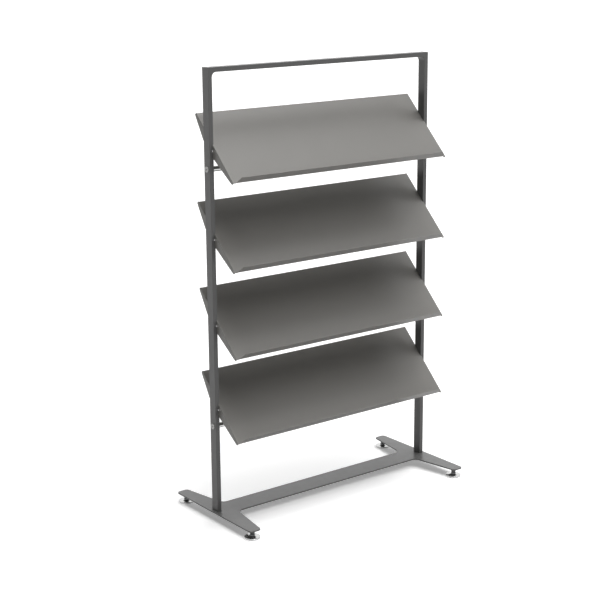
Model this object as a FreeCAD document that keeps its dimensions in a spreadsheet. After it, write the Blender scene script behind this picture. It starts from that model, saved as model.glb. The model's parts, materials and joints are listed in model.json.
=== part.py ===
"""Periodical display rack: a U-shaped frame of flat bar on a flat steel base plate, with sloping sheet
shelves that tilt on pivots between the posts and stand on levelling feet. Millimetres, +Z up, the front
faces -Y, the origin is on the floor midway between the posts."""
import FreeCAD, Part
import Sketcher
import math
import os

DRIVING_SIZES = (
    # frame of flat bar
    ("frame_width", "1000"),        # over the posts' outer faces
    ("post_height", "1603"),        # from the base plate's top to the top of the frame
    ("bar_thick", "12"),            # of posts and top rail, seen from the front
    ("bar_depth", "35"),            # of posts and top rail, from front to back
    ("corner_radius", "17"),        # inner corners of the frame
    ("edge_break", "0.8"),          # rounding of the bars' long edges
    # base plate
    ("plate_overhang", "12"),       # of the plate beyond each post
    ("plate_depth", "480"),         # over the legs' tips
    ("plate_thick", "5"),
    ("cross_depth", "98"),          # of the bar that joins the two pairs of legs
    ("leg_root_width", "79"),       # of a leg where it leaves the cross bar
    ("leg_tip_width", "46.5"),
    ("leg_tip_radius", "13"),
    ("leg_root_radius", "26"),
    # screws from the base plate into the posts
    ("base_screw", "6"),
    ("base_screw_head", "12"),
    ("base_screw_hole", "6.6"),
    ("base_screw_spacing", "18"),
    ("base_screw_length", "22"),
    ("base_screw_key", "4"),
    # levelling feet
    ("plate_clearance", "32"),      # from the floor to the plate's underside
    ("foot_inset", "26"),           # of a foot's centre from the plate's side and tip
    ("dome_diameter", "58"),
    ("dome_height", "10"),
    ("dome_neck", "19"),            # diameter of the flat top of the dome's hub
    ("dome_hub", "34"),             # diameter of the hub's foot
    ("dome_hub_rise", "2.8"),       # of the hub above the brim round it
    ("dome_rim", "4.2"),            # height of the upright rim
    ("dome_shoulder", "1.5"),       # radius between the rim and the brim
    ("dome_wall", "1.6"),           # of the rim round the glide
    ("glide_thick", "3"),
    ("glide_proud", "0.8"),         # of the glide below the rim
    ("spigot_diameter", "8"),
    ("spigot_depth", "4"),
    ("stem_diameter", "10"),
    ("stem_gap", "3"),              # between the stem's top and the plate
    ("foot_hex", "17"),
    ("foot_hex_height", "5"),
    ("boss_diameter", "17"),
    ("boss_height", "14"),
    # tie tubes with their plugs and bolts
    ("tie_drop", "80.5"),           # of a tie tube below the pivot of the shelf over it
    ("tube_diameter", "20"),
    ("tube_wall", "1.5"),
    ("plug_length", "25"),
    ("tie_bolt", "10"),
    ("tie_bolt_head", "21"),
    ("tie_bolt_head_height", "3.5"),
    ("tie_bolt_crown", "2.1"),      # radius of the head's rounded edge
    ("tie_bolt_reach", "18"),       # of the bolt into its plug
    ("tie_bolt_key", "6"),
    # shelves, with the pivot as the origin of each
    ("lowest_pivot", "404"),        # above the base plate's top
    ("shelf_pitch", "310.3"),
    ("shelf_tilt", "45"),           # degrees from level, front down
    ("shelf_depth", "310"),
    ("shelf_gap", "1"),             # between cheek and post
    ("sheet_thick", "1.5"),
    ("bend_radius", "2.5"),         # outside of the bends
    ("pivot_offset", "22.2"),       # of the pivot behind the panel's middle
    ("panel_rise", "17"),           # of the panel's face over the pivot
    ("cheek_drop", "17"),           # of the cheek's flat bottom under the pivot
    ("cheek_flat", "78"),           # length of that flat bottom
    ("cheek_tip", "8.3"),           # depth of the cheek at the panel's two edges
    ("cheek_knee", "11.2"),         # depth of the cheek where its slope starts
    ("knee_inset", "8"),            # of that place from the panel's edge
    ("lip_height", "27.5"),
    ("lip_lean", "6"),              # degrees over the panel
    ("lip_end", "12.9"),            # from the shelf's end to the lip
    ("lip_slant", "15"),            # run of the lip's slanting end
    ("hem_height", "8.3"),          # of the fold under the back edge
    # stop pins
    ("pin_diameter", "6"),
    ("pin_reach", "5"),             # out of the cheek
    ("pin_drop", "15.5"),           # under the pivot
    ("pin_clear", "0.3"),           # between pin and post at rest
    ("pin_bevel", "0.5"),
    ("pin_head", "10"),
    ("pin_head_thick", "2"),
    # pivot screws and their washers
    ("pivot_shoulder", "8"),
    ("pivot_head", "14"),
    ("pivot_head_height", "4"),
    ("pivot_thread", "6"),
    ("pivot_thread_length", "8.5"),
    ("pivot_key", "4"),
    ("washer_diameter", "18"),
    # clearances
    ("fit_clear", "0.05"),          # all round, pieces that stay together
    ("run_clear", "0.08"),          # all round, pieces that turn or slide in each other
    ("side_clear", "0.1"),          # endways, pieces that turn against each other
    ("blind_clear", "1"),           # beyond the end of a screw or spigot in its hole
    ("socket_depth", "2"),          # of the hexagon sockets
)
SHELF_COUNT = 4
SKETCH_ORIGIN = -1                  # number of a sketch's own origin among its geometry
CORNERS_OF_HEXAGON = 6
SAME_LENGTH = 0.01                  # lengths and places closer than this count as equal


class Size:
    """A number together with the spreadsheet formula that gives it."""

    def __init__(self, value, text):
        self.value = float(value)
        self.text = text

    def __add__(self, other):
        return Size(self.value + number(other).value, f"({self.text} + {number(other).text})")

    def __sub__(self, other):
        return Size(self.value - number(other).value, f"({self.text} - {number(other).text})")

    def __mul__(self, other):
        return Size(self.value * number(other).value, f"({self.text} * {number(other).text})")

    def __truediv__(self, other):
        return Size(self.value / number(other).value, f"({self.text} / {number(other).text})")

    def __neg__(self):
        return self * -1


def number(value):
    return value if isinstance(value, Size) else Size(value, f"{float(value):.12f}")


def sine(angle):
    return Size(math.sin(math.radians(angle.value)), f"sin({angle.text})")


def cosine(angle):
    return Size(math.cos(math.radians(angle.value)), f"cos({angle.text})")


doc = FreeCAD.newDocument("DisplayRack")
sheet = doc.addObject("Spreadsheet::Sheet", "Sizes")
for row, (alias, text) in enumerate(DRIVING_SIZES, start=1):
    sheet.set(f"A{row}", alias)
    sheet.set(f"B{row}", text)
    sheet.setAlias(f"B{row}", alias)
doc.recompute()
size = {alias: Size(sheet.get(alias), f"Sizes.{alias}") for alias, text in DRIVING_SIZES}

# places that several pieces share
ZERO = number(0)
HALF_WIDTH = size["frame_width"] / 2
INNER_FACE = HALF_WIDTH - size["bar_thick"]
POST_CENTRE = HALF_WIDTH - size["bar_thick"] / 2
PLATE_SIDE = HALF_WIDTH + size["plate_overhang"]
PLATE_TIP = size["plate_depth"] / 2
PLATE_TOP = size["plate_clearance"] + size["plate_thick"]
CHEEK_FACE = INNER_FACE - size["shelf_gap"]
CHEEK_INSIDE = CHEEK_FACE - size["sheet_thick"]
PANEL_FRONT = size["shelf_depth"] / 2 + size["pivot_offset"]
PANEL_BACK = size["shelf_depth"] / 2 - size["pivot_offset"]
PANEL_UNDER = size["panel_rise"] - size["sheet_thick"]
PIN_AHEAD = size["bar_depth"] / 2 + size["pin_diameter"] / 2 + size["pin_clear"]
PLUG_BORE = size["tie_bolt"] / 2 + size["fit_clear"]
FOOT_X = PLATE_SIDE - size["foot_inset"]
FOOT_Y = PLATE_TIP - size["foot_inset"]


# ---- small helpers for bodies, sketches and features ----

def new_body(label, x=ZERO, y=ZERO, z=ZERO, tilt=None):
    """A body at x, y, z, turned by tilt degrees about the X axis so that its back rises."""
    body = doc.addObject("PartDesign::Body", label)
    body.Label = label
    angle = tilt.value if tilt else 0
    body.Placement = FreeCAD.Placement(FreeCAD.Vector(x.value, y.value, z.value),
                                       FreeCAD.Rotation(FreeCAD.Vector(1, 0, 0), angle))
    for axis, place in (("x", x), ("y", y), ("z", z)):
        body.setExpression(f".Placement.Base.{axis}", place.text)
    if tilt:
        body.setExpression(".Placement.Rotation.Angle", tilt.text)
    return body


def origin_feature(body, role):
    return next(feature for feature in body.Origin.OriginFeatures if feature.Role == role)


def new_sketch(body, plane, offset=ZERO):
    """A sketch on one of the body's own origin planes, moved by offset along the plane's normal."""
    sketch = body.newObject("Sketcher::SketchObject", "Sketch")
    sketch.AttachmentSupport = [(origin_feature(body, plane), "")]
    sketch.MapMode = "FlatFace"
    sketch.AttachmentOffset = FreeCAD.Placement(FreeCAD.Vector(0, 0, offset.value), FreeCAD.Rotation())
    sketch.setExpression(".AttachmentOffset.Base.z", offset.text)
    return sketch


def add_constraint(sketch, value, *what):
    index = sketch.addConstraint(Sketcher.Constraint(*what, value.value))
    sketch.setExpression(f"Constraints[{index}]", value.text)


def fix_point(sketch, geometry, end, x, y):
    add_constraint(sketch, x, "DistanceX", SKETCH_ORIGIN, 1, geometry, end)
    add_constraint(sketch, y, "DistanceY", SKETCH_ORIGIN, 1, geometry, end)


def draw_circle(sketch, x, y, radius):
    circle = Part.Circle(FreeCAD.Vector(x.value, y.value, 0), FreeCAD.Vector(0, 0, 1), radius.value)
    index = sketch.addGeometry(circle, False)
    fix_point(sketch, index, 3, x, y)
    add_constraint(sketch, radius, "Radius", index)


def arc_between(start, end, radius, turn):
    """The short arc from start to end: turn is 1 for counter-clockwise and -1 for clockwise."""
    chord = end - start
    to_left = FreeCAD.Vector(-chord.y, chord.x, 0).normalize()
    height = math.sqrt(radius ** 2 - chord.Length ** 2 / 4)
    centre = (start + end) / 2 + to_left * (turn * height)
    angles = [math.atan2(point.y - centre.y, point.x - centre.x) for point in (start, end)]
    circle = Part.Circle(centre, FreeCAD.Vector(0, 0, 1), radius)
    return Part.ArcOfCircle(circle, *angles[::turn])


def draw_outline(sketch, corners):
    """A closed loop. Each corner is (x, y), or (x, y, radius, turn) where an arc leads to the next one."""
    first = sketch.GeometryCount
    ends = []
    for place, corner in enumerate(corners):
        following = corners[(place + 1) % len(corners)]
        start = FreeCAD.Vector(corner[0].value, corner[1].value, 0)
        end = FreeCAD.Vector(following[0].value, following[1].value, 0)
        if len(corner) == 2:
            sketch.addGeometry(Part.LineSegment(start, end), False)
            ends.append((1, 2))
        else:
            sketch.addGeometry(arc_between(start, end, corner[2].value, corner[3]), False)
            ends.append((1, 2)[::corner[3]])
    for place, corner in enumerate(corners):
        following = (place + 1) % len(corners)
        sketch.addConstraint(Sketcher.Constraint("Coincident", first + place, ends[place][1],
                                                 first + following, ends[following][0]))
        fix_point(sketch, first + place, ends[place][0], corner[0], corner[1])
        if len(corner) > 2:
            add_constraint(sketch, corner[2], "Radius", first + place)


def draw_hexagon(sketch, across_flats, x=ZERO, y=ZERO):
    corners = []
    for corner in range(CORNERS_OF_HEXAGON):
        angle = math.radians(360 / CORNERS_OF_HEXAGON * corner)
        reach = across_flats / math.sqrt(3)
        corners.append((x + reach * math.cos(angle), y + reach * math.sin(angle)))
    draw_outline(sketch, corners)


def pad(body, sketch, length, symmetric=False, backwards=False):
    feature = body.newObject("PartDesign::Pad", "Pad")
    feature.Profile = (sketch, [""])
    feature.setExpression("Length", length.text)
    feature.Midplane = symmetric
    feature.Reversed = backwards
    doc.recompute()


def cut(body, sketch, length=None, backwards=False):
    """A pocket of the given length against the sketch's normal, or right through both ways."""
    before = body.Shape.Volume
    feature = body.newObject("PartDesign::Pocket", "Pocket")
    feature.Profile = (sketch, [""])
    if length:
        feature.setExpression("Length", length.text)
        feature.Reversed = backwards
    else:
        feature.Type = "ThroughAll"
        feature.Midplane = True
    doc.recompute()
    if not body.Shape.Volume < before:
        raise RuntimeError(f"a pocket of {body.Label} cuts nothing")
    return feature


def turn_round(body, axis, profile):
    """A profile of (distance along the axis, radius) corners turned about the X or the Z axis."""
    sketch = new_sketch(body, "XY_Plane" if axis == "X_Axis" else "XZ_Plane")
    if axis == "Z_Axis":
        profile = [(corner[1], corner[0], *corner[2:]) for corner in profile]
    draw_outline(sketch, profile)
    feature = body.newObject("PartDesign::Revolution", "Revolution")
    feature.Profile = (sketch, [""])
    feature.ReferenceAxis = (origin_feature(body, axis), [""])
    feature.Angle = 360
    doc.recompute()
    return feature


def mirror_across(body, originals):
    """Repeat the features at the rack's other end."""
    feature = body.newObject("PartDesign::Mirrored", "Mirrored")
    feature.Originals = originals
    feature.MirrorPlane = (origin_feature(body, "YZ_Plane"), [""])
    body.Tip = feature
    doc.recompute()


def dress_edges(body, kind, amount, chosen):
    """Round (Fillet) or bevel (Chamfer) the edges of the body that the test chosen picks."""
    before = body.Tip
    names = [f"Edge{place}" for place, edge in enumerate(before.Shape.Edges, start=1) if chosen(edge)]
    feature = body.newObject(f"PartDesign::{kind}", kind)
    feature.Base = (before, names)
    feature.setExpression("Radius" if kind == "Fillet" else "Size", amount.text)
    doc.recompute()


def middle(edge):
    return edge.valueAt((edge.FirstParameter + edge.LastParameter) / 2)


def near(length, place):
    return abs(length - place.value) < SAME_LENGTH


# ---- frame ----

def mitred_corner(side):
    """The corners of the outline from a post's inner face, round the half arc, to the frame's corner."""
    arc_start = size["post_height"] - size["bar_thick"] - size["corner_radius"]
    mitre = size["bar_thick"] + size["corner_radius"] * (1 - math.sqrt(0.5))
    return ((INNER_FACE * side, arc_start), (HALF_WIDTH - mitre) * side, size["post_height"] - mitre)


def make_post(label, side):
    """A flat bar, mitred at its top, drilled for the tie bolts, the pivot screws and the base screws."""
    body = new_body(label, z=PLATE_TOP)
    outline = new_sketch(body, "XZ_Plane")
    arc_start, mitre_x, mitre_z = mitred_corner(side)
    draw_outline(outline, [(INNER_FACE * side, ZERO), (*arc_start, size["corner_radius"], side),
                           (mitre_x, mitre_z), (HALF_WIDTH * side, size["post_height"]),
                           (HALF_WIDTH * side, ZERO)])
    pad(body, outline, size["bar_depth"], symmetric=True)
    half_depth = size["bar_depth"] / 2
    dress_edges(body, "Fillet", size["edge_break"],
                lambda edge: edge.Length > size["post_height"].value / 2
                and near(abs(middle(edge).y), half_depth))

    bolt_holes = new_sketch(body, "YZ_Plane")
    for height in TIE_HEIGHTS:
        draw_circle(bolt_holes, ZERO, height, PLUG_BORE)
    cut(body, bolt_holes)

    pivot_holes = new_sketch(body, "YZ_Plane")
    for height in PIVOT_HEIGHTS:
        draw_circle(pivot_holes, ZERO, height, size["pivot_thread"] / 2 + size["fit_clear"])
    cut(body, pivot_holes, INNER_FACE + size["pivot_thread_length"] + size["blind_clear"], backwards=side > 0)

    base_holes = new_sketch(body, "XY_Plane")
    for place in (-1, 1):
        draw_circle(base_holes, POST_CENTRE * side, size["base_screw_spacing"] / 2 * place,
                    size["base_screw"] / 2 + size["fit_clear"])
    hole_depth = size["base_screw_length"] - size["plate_thick"] + size["blind_clear"]
    cut(body, base_holes, hole_depth, backwards=True)
    return body


def make_top_rail():
    """The same flat bar between the two mitres, with its share of the rounded inner corners."""
    body = new_body("top_rail", z=PLATE_TOP)
    outline = new_sketch(body, "XZ_Plane")
    radius = size["corner_radius"]
    under = size["post_height"] - size["bar_thick"]
    right_start, right_x, mitre_z = mitred_corner(1)
    left_start, left_x, mitre_z = mitred_corner(-1)
    draw_outline(outline, [(HALF_WIDTH, size["post_height"]), (right_x, mitre_z, radius, 1),
                           (INNER_FACE - radius, under), (-(INNER_FACE - radius), under, radius, 1),
                           (left_x, mitre_z), (-HALF_WIDTH, size["post_height"])])
    pad(body, outline, size["bar_depth"], symmetric=True)
    half_depth = size["bar_depth"] / 2
    dress_edges(body, "Fillet", size["edge_break"],
                lambda edge: edge.Length > size["frame_width"].value / 2
                and near(abs(middle(edge).y), half_depth))
    return body


def make_base_plate():
    """One flat plate: a cross bar with four legs that narrow to rounded tips."""
    body = new_body("base_plate", z=size["plate_clearance"])
    outline = new_sketch(body, "XY_Plane")
    tip_x = PLATE_SIDE - size["leg_tip_width"]
    root_x = PLATE_SIDE - size["leg_root_width"]
    root_y = size["cross_depth"] / 2
    quarter = ((root_x, root_y), (tip_x, PLATE_TIP), (PLATE_SIDE, PLATE_TIP))
    corners = [(x, y) for x, y in quarter]
    corners += [(x, -y) for x, y in reversed(quarter)]
    corners += [(-x, -y) for x, y in quarter]
    corners += [(-x, y) for x, y in reversed(quarter)]
    draw_outline(outline, corners)
    pad(body, outline, size["plate_thick"])
    dress_edges(body, "Fillet", size["leg_tip_radius"],
                lambda edge: near(edge.Length, size["plate_thick"]) and near(abs(middle(edge).y), PLATE_TIP))
    dress_edges(body, "Fillet", size["leg_root_radius"],
                lambda edge: near(edge.Length, size["plate_thick"]) and near(abs(middle(edge).y), root_y)
                and near(abs(middle(edge).x), root_x))
    holes = new_sketch(body, "XY_Plane")
    for side in (-1, 1):
        for place in (-1, 1):
            draw_circle(holes, POST_CENTRE * side, size["base_screw_spacing"] / 2 * place,
                        size["base_screw_hole"] / 2)
    cut(body, holes)
    countersink = (size["base_screw_head"] - size["base_screw_hole"]) / 2 + size["fit_clear"]
    hole_radius = size["base_screw_hole"] / 2
    dress_edges(body, "Chamfer", countersink,
                lambda edge: hasattr(edge.Curve, "Radius") and near(edge.Curve.Radius, hole_radius)
                and near(middle(edge).z, ZERO))
    return body


def make_base_screws(label, side):
    """Two countersunk screws, up through the plate into a post."""
    body = new_body(label, POST_CENTRE * side, -(size["base_screw_spacing"] / 2), size["plate_clearance"])
    shank = size["base_screw"] / 2
    head = size["base_screw_head"] / 2
    length = size["base_screw_length"]
    screw = turn_round(body, "Z_Axis", [(ZERO, ZERO), (ZERO, head), (head - shank, shank), (length, shank),
                                        (length, ZERO)])
    socket_sketch = new_sketch(body, "XY_Plane")
    draw_hexagon(socket_sketch, size["base_screw_key"])
    socket = cut(body, socket_sketch, size["socket_depth"], backwards=True)
    pattern = body.newObject("PartDesign::LinearPattern", "LinearPattern")
    pattern.Originals = [screw, socket]
    pattern.Direction = (origin_feature(body, "Y_Axis"), [""])
    pattern.Occurrences = 2
    pattern.setExpression("Length", size["base_screw_spacing"].text)
    body.Tip = pattern
    doc.recompute()
    return body


# ---- tie tubes ----

def make_tie_tube(label, height):
    """A round tube from post to post."""
    body = new_body(label, z=PLATE_TOP + height)
    outer = size["tube_diameter"] / 2
    inner = outer - size["tube_wall"]
    turn_round(body, "X_Axis", [(-INNER_FACE, inner), (-INNER_FACE, outer), (INNER_FACE, outer),
                                (INNER_FACE, inner)])
    return body


def make_tube_plugs(label, height):
    """A threaded plug in each end of a tie tube, flush with the tube's end."""
    body = new_body(label, z=PLATE_TOP + height)
    outer = size["tube_diameter"] / 2 - size["tube_wall"] - size["fit_clear"]
    inside_end = INNER_FACE - size["plug_length"]
    plug = turn_round(body, "X_Axis", [(inside_end, PLUG_BORE), (inside_end, outer), (INNER_FACE, outer),
                                       (INNER_FACE, PLUG_BORE)])
    mirror_across(body, [plug])
    return body


def make_tie_bolts(label, height):
    """A low round-headed bolt through each post into its plug."""
    body = new_body(label, z=PLATE_TOP + height)
    shank = size["tie_bolt"] / 2
    head = size["tie_bolt_head"] / 2
    face = HALF_WIDTH + size["tie_bolt_head_height"]
    crown = size["tie_bolt_crown"]
    bolt = turn_round(body, "X_Axis", [(INNER_FACE - size["tie_bolt_reach"], ZERO),
                                       (INNER_FACE - size["tie_bolt_reach"], shank), (HALF_WIDTH, shank),
                                       (HALF_WIDTH, head), (face - crown, head, crown, 1),
                                       (face, head - crown), (face, ZERO)])
    socket_sketch = new_sketch(body, "YZ_Plane", face)
    draw_hexagon(socket_sketch, size["tie_bolt_key"])
    socket = cut(body, socket_sketch, size["socket_depth"])
    mirror_across(body, [bolt, socket])
    return body


# ---- shelves ----

def make_shelf(label, height):
    """One bent sheet: the panel, a cheek folded down at each end, a lip up at the front, a hem at the back.
    Its own origin is on the pivot, its panel is level and the front is towards -Y before it is tilted."""
    body = new_body(label, z=PLATE_TOP + height, tilt=size["shelf_tilt"])
    rise = size["panel_rise"]
    drop = -size["cheek_drop"]
    section = new_sketch(body, "XZ_Plane", PANEL_FRONT)
    draw_outline(section, [(-CHEEK_FACE, drop), (-CHEEK_FACE, rise), (CHEEK_FACE, rise), (CHEEK_FACE, drop),
                           (CHEEK_INSIDE, drop), (CHEEK_INSIDE, PANEL_UNDER), (-CHEEK_INSIDE, PANEL_UNDER),
                           (-CHEEK_INSIDE, drop)])
    pad(body, section, size["shelf_depth"], backwards=True)
    half_length = size["shelf_depth"].value / 2
    dress_edges(body, "Fillet", size["bend_radius"],
                lambda edge: edge.Length > half_length and near(abs(middle(edge).x), CHEEK_FACE)
                and near(middle(edge).z, rise))
    dress_edges(body, "Fillet", size["bend_radius"] - size["sheet_thick"],
                lambda edge: edge.Length > half_length and near(abs(middle(edge).x), CHEEK_INSIDE)
                and near(middle(edge).z, PANEL_UNDER))

    cheek_trim = new_sketch(body, "YZ_Plane")
    tip = rise - size["cheek_tip"]
    knee = rise - size["cheek_knee"]
    below = drop - size["cheek_drop"]
    for direction, edge in ((-1, PANEL_FRONT), (1, PANEL_BACK)):
        beyond = edge + size["knee_inset"]
        draw_outline(cheek_trim, [(edge * direction, tip), ((edge - size["knee_inset"]) * direction, knee),
                                  (size["cheek_flat"] / 2 * direction, drop),
                                  (size["cheek_flat"] / 2 * direction, below), (beyond * direction, below),
                                  (beyond * direction, tip)])
    cut(body, cheek_trim)

    lip = new_sketch(body, "YZ_Plane")
    lip_length = size["lip_height"] - size["sheet_thick"]
    lean_back = lip_length * sine(size["lip_lean"])
    lip_top = rise + lip_length * cosine(size["lip_lean"])
    across = size["sheet_thick"] * cosine(size["lip_lean"])
    fall = size["sheet_thick"] * sine(size["lip_lean"])
    foot = size["sheet_thick"] / cosine(size["lip_lean"])
    draw_outline(lip, [(-PANEL_FRONT, rise), (lean_back - PANEL_FRONT, lip_top),
                       (lean_back - PANEL_FRONT + across, lip_top - fall), (foot - PANEL_FRONT, rise),
                       (foot - PANEL_FRONT, PANEL_UNDER), (-PANEL_FRONT, PANEL_UNDER)])
    lip_half = CHEEK_FACE - size["lip_end"]
    pad(body, lip, lip_half * 2, symmetric=True)

    lip_ends = new_sketch(body, "XZ_Plane", PANEL_FRONT)
    above = lip_top + size["sheet_thick"]
    slant_top = lip_half - size["lip_slant"] * ((above - rise) / (lip_top - rise))
    for side in (-1, 1):
        draw_outline(lip_ends, [(lip_half * side, rise), (CHEEK_FACE * side, rise),
                                (CHEEK_FACE * side, above), (slant_top * side, above)])
    cut(body, lip_ends, lean_back + size["sheet_thick"] * 2)
    dress_edges(body, "Fillet", size["bend_radius"] - size["sheet_thick"],
                lambda edge: edge.Length > lip_half.value and near(middle(edge).z, rise)
                and near(middle(edge).y, foot - PANEL_FRONT))

    hem = new_sketch(body, "YZ_Plane")
    hem_foot = PANEL_UNDER - size["hem_height"] + size["sheet_thick"]
    draw_outline(hem, [(PANEL_BACK, PANEL_UNDER), (PANEL_BACK, hem_foot),
                       (PANEL_BACK - size["sheet_thick"], hem_foot),
                       (PANEL_BACK - size["sheet_thick"], PANEL_UNDER)])
    pad(body, hem, (CHEEK_FACE - size["bend_radius"] - size["sheet_thick"]) * 2, symmetric=True)

    holes = new_sketch(body, "YZ_Plane")
    draw_circle(holes, ZERO, ZERO, size["pivot_shoulder"] / 2 + size["run_clear"])
    tilt = size["shelf_tilt"]
    draw_circle(holes, -(PIN_AHEAD * cosine(tilt) + size["pin_drop"] * sine(tilt)),
                PIN_AHEAD * sine(tilt) - size["pin_drop"] * cosine(tilt),
                size["pin_diameter"] / 2 + size["fit_clear"])
    cut(body, holes)
    return body


def make_stop_pins(label, height):
    """A headed pin in each cheek that stands out just in front of the post and stops the shelf there."""
    body = new_body(label, y=-PIN_AHEAD, z=PLATE_TOP + height - size["pin_drop"])
    shank = size["pin_diameter"] / 2
    bevel = size["pin_bevel"]
    end = CHEEK_FACE + size["pin_reach"]
    head_end = CHEEK_INSIDE - size["pin_head_thick"]
    pin = turn_round(body, "X_Axis", [(head_end, ZERO), (head_end, size["pin_head"] / 2),
                                      (CHEEK_INSIDE, size["pin_head"] / 2), (CHEEK_INSIDE, shank),
                                      (end - bevel, shank), (end, shank - bevel), (end, ZERO)])
    mirror_across(body, [pin])
    return body


def make_pivot_screws(label, height):
    """A shoulder screw from inside each cheek into the post: the shelf turns on the shoulder."""
    body = new_body(label, z=PLATE_TOP + height)
    head_seat = CHEEK_INSIDE - size["side_clear"]
    head_end = head_seat - size["pivot_head_height"]
    thread_end = INNER_FACE + size["pivot_thread_length"]
    screw = turn_round(body, "X_Axis", [(head_end, ZERO), (head_end, size["pivot_head"] / 2),
                                        (head_seat, size["pivot_head"] / 2),
                                        (head_seat, size["pivot_shoulder"] / 2),
                                        (INNER_FACE, size["pivot_shoulder"] / 2),
                                        (INNER_FACE, size["pivot_thread"] / 2),
                                        (thread_end, size["pivot_thread"] / 2), (thread_end, ZERO)])
    socket_sketch = new_sketch(body, "YZ_Plane", head_end)
    draw_hexagon(socket_sketch, size["pivot_key"])
    socket = cut(body, socket_sketch, size["socket_depth"], backwards=True)
    mirror_across(body, [screw, socket])
    return body


def make_pivot_washers(label, height):
    """A thin washer on each shoulder, against the post."""
    body = new_body(label, z=PLATE_TOP + height)
    bore = size["pivot_shoulder"] / 2 + size["fit_clear"]
    face = CHEEK_FACE + size["side_clear"]
    washer = turn_round(body, "X_Axis", [(face, bore), (face, size["washer_diameter"] / 2),
                                         (INNER_FACE, size["washer_diameter"] / 2), (INNER_FACE, bore)])
    mirror_across(body, [washer])
    return body


# ---- levelling feet ----

def make_foot_boss(label, x, y):
    """The threaded boss welded under a leg's tip."""
    body = new_body(label, x, y, size["plate_clearance"])
    bore = size["stem_diameter"] / 2 + size["run_clear"]
    outer = size["boss_diameter"] / 2
    turn_round(body, "Z_Axis", [(-size["boss_height"], bore), (-size["boss_height"], outer), (ZERO, outer),
                                (ZERO, bore)])
    return body


def make_foot_stem(label, x, y):
    """The threaded stem with its adjusting hexagon and the spigot that turns in the dome."""
    body = new_body(label, x, y)
    collar = size["dome_height"] + size["side_clear"]
    spigot_end = size["dome_height"] - size["spigot_depth"]
    top = size["plate_clearance"] - size["stem_gap"]
    turn_round(body, "Z_Axis", [(spigot_end, ZERO), (spigot_end, size["spigot_diameter"] / 2),
                                (collar, size["spigot_diameter"] / 2), (collar, size["stem_diameter"] / 2),
                                (top, size["stem_diameter"] / 2), (top, ZERO)])
    hexagon = new_sketch(body, "XY_Plane", collar)
    draw_hexagon(hexagon, size["foot_hex"])
    pad(body, hexagon, size["foot_hex_height"])
    return body


def make_foot_dome(label, x, y):
    """The low dome, a round brim that rises to a hub, hollow below for the glide and bored above for the stem's
    spigot."""
    body = new_body(label, x, y)
    outer = size["dome_diameter"] / 2
    recess = outer - size["dome_wall"]
    socket = size["spigot_diameter"] / 2 + size["run_clear"]
    socket_end = size["dome_height"] - size["spigot_depth"] - size["side_clear"]
    rim_top = size["glide_proud"] + size["dome_rim"]
    shoulder = size["dome_shoulder"]
    hub_foot = size["dome_height"] - size["dome_hub_rise"]
    turn_round(body, "Z_Axis", [(size["glide_thick"], ZERO), (size["glide_thick"], recess),
                                (size["glide_proud"], recess), (size["glide_proud"], outer),
                                (rim_top, outer, shoulder, 1), (rim_top + shoulder, outer - shoulder),
                                (hub_foot, size["dome_hub"] / 2), (size["dome_height"], size["dome_neck"] / 2),
                                (size["dome_height"], socket),
                                (socket_end, socket), (socket_end, ZERO)])
    return body


def make_foot_glide(label, x, y):
    """The plastic disc in the dome, which stands on the floor."""
    body = new_body(label, x, y)
    outer = size["dome_diameter"] / 2 - size["dome_wall"] - size["fit_clear"]
    bevel = size["glide_proud"] / 2
    turn_round(body, "Z_Axis", [(ZERO, ZERO), (ZERO, outer - bevel), (bevel, outer),
                                (size["glide_thick"], outer), (size["glide_thick"], ZERO)])
    return body


# ---- the rack ----

PIVOT_HEIGHTS = [size["lowest_pivot"] + size["shelf_pitch"] * place for place in reversed(range(SHELF_COUNT))]
TIE_HEIGHTS = [PIVOT_HEIGHTS[place] - size["tie_drop"] for place in (0, -1)]

pieces = [make_base_plate(), make_top_rail()]
for name, side in (("left", -1), ("right", 1)):
    pieces.append(make_post(f"{name}_post", side))
    pieces.append(make_base_screws(f"{name}_post_screws", side))
for name, height in zip(("upper", "lower"), TIE_HEIGHTS):
    pieces.append(make_tie_tube(f"{name}_tie_tube", height))
    pieces.append(make_tube_plugs(f"{name}_tube_plugs", height))
    pieces.append(make_tie_bolts(f"{name}_tie_bolts", height))
for place, height in enumerate(PIVOT_HEIGHTS, start=1):
    pieces.append(make_shelf(f"shelf_{place}", height))
    pieces.append(make_stop_pins(f"shelf_{place}_stop_pins", height))
    pieces.append(make_pivot_screws(f"shelf_{place}_pivot_screws", height))
    pieces.append(make_pivot_washers(f"shelf_{place}_pivot_washers", height))
for end, y in (("front", -FOOT_Y), ("back", FOOT_Y)):
    for name, x in (("left", -FOOT_X), ("right", FOOT_X)):
        pieces.append(make_foot_boss(f"foot_boss_{end}_{name}", x, y))
        pieces.append(make_foot_stem(f"foot_stem_{end}_{name}", x, y))
        pieces.append(make_foot_dome(f"foot_dome_{end}_{name}", x, y))
        pieces.append(make_foot_glide(f"foot_glide_{end}_{name}", x, y))

doc.recompute()
for item in doc.Objects:
    if {"Invalid", "Error"} & set(item.State):
        raise RuntimeError(f"{item.Label} failed: {item.State}")
for piece in pieces:
    if piece.Shape.isNull() or not piece.Shape.isValid():
        raise RuntimeError(f"{piece.Label} has no valid shape")
os.makedirs("parts", exist_ok=True)
for piece in pieces:
    piece.Shape.exportStep(f"parts/{piece.Label}.step")
    print(f"{piece.Label}: {len(piece.Shape.Solids)} solid(s), {piece.Shape.Volume / 1000:.2f} cm3")
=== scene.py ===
"""Periodical display rack: the finished surfaces of every piece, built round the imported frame.
Metres, +Z up, the front faces -Y, the origin is on the floor midway between the posts."""
import json
import math
import bmesh
import bpy
import numpy as np
from mathutils import Matrix, Vector, geometry


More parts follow.
